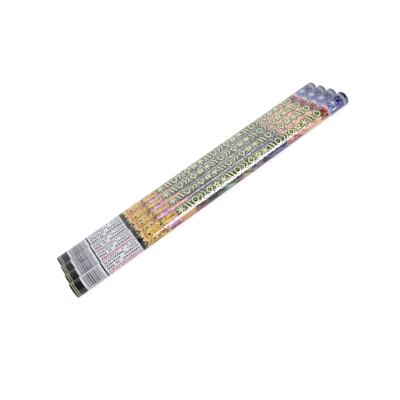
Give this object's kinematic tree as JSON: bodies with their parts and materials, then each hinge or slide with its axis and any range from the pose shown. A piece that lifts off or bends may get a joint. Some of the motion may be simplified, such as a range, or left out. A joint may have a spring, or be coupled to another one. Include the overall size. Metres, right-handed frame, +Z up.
{
  "type": "roman candle pack",
  "caption": "Row of slim printed paper roman candles lying side by side, held together by a clear shrink film sleeve drawn in over both ends.",
  "frame": {"origin": "under the middle of the pack, on the surface that it lies on", "axes": "+X along the candles from the base ends to the muzzles, +Y across the row to the back candle, +Z up"},
  "size_m": [0.5954, 0.1134, 0.0288],
  "materials": {
    "film": "clear shrink film, glossy, softly wrinkled at the ends",
    "print": "gloss-coated printed paper in black, silver, gold, yellow, green, salmon and night blue",
    "kraft": "spiral-wound kraft board, matte",
    "clay": "pressed dry clay, matte and grainy",
    "powder": "pressed dark grains in bran and sawdust, matte",
    "star": "pressed grey composition, matte",
    "fuse": "green lacquered braid over a powder core",
    "closure": "dark blue pressed paper, matte"
  },
  "bodies": {
    "root": {"tube_1": "kraft", "wrap_1": "print", "base_plug_1": "clay", "powder_train_1": "powder", "time_fuse_1": "fuse", "muzzle_closure_1": "closure", "star_1_1": "star", "star_1_2": "star", "star_1_3": "star", "star_1_4": "star", "star_1_5": "star", "star_1_6": "star", "star_1_7": "star", "star_1_8": "star", "tube_2": "kraft", "wrap_2": "print", "base_plug_2": "clay", "powder_train_2": "powder", "time_fuse_2": "fuse", "muzzle_closure_2": "closure", "star_2_1": "star", "star_2_2": "star", "star_2_3": "star", "star_2_4": "star", "star_2_5": "star", "star_2_6": "star", "star_2_7": "star", "star_2_8": "star", "tube_3": "kraft", "wrap_3": "print", "base_plug_3": "clay", "powder_train_3": "powder", "time_fuse_3": "fuse", "muzzle_closure_3": "closure", "star_3_1": "star", "star_3_2": "star", "star_3_3": "star", "star_3_4": "star", "star_3_5": "star", "star_3_6": "star", "star_3_7": "star", "star_3_8": "star", "tube_4": "kraft", "wrap_4": "print", "base_plug_4": "clay", "powder_train_4": "powder", "time_fuse_4": "fuse", "muzzle_closure_4": "closure", "star_4_1": "star", "star_4_2": "star", "star_4_3": "star", "star_4_4": "star", "star_4_5": "star", "star_4_6": "star", "star_4_7": "star", "star_4_8": "star", "shrink_film": "film"}
  },
  "joints": []
}
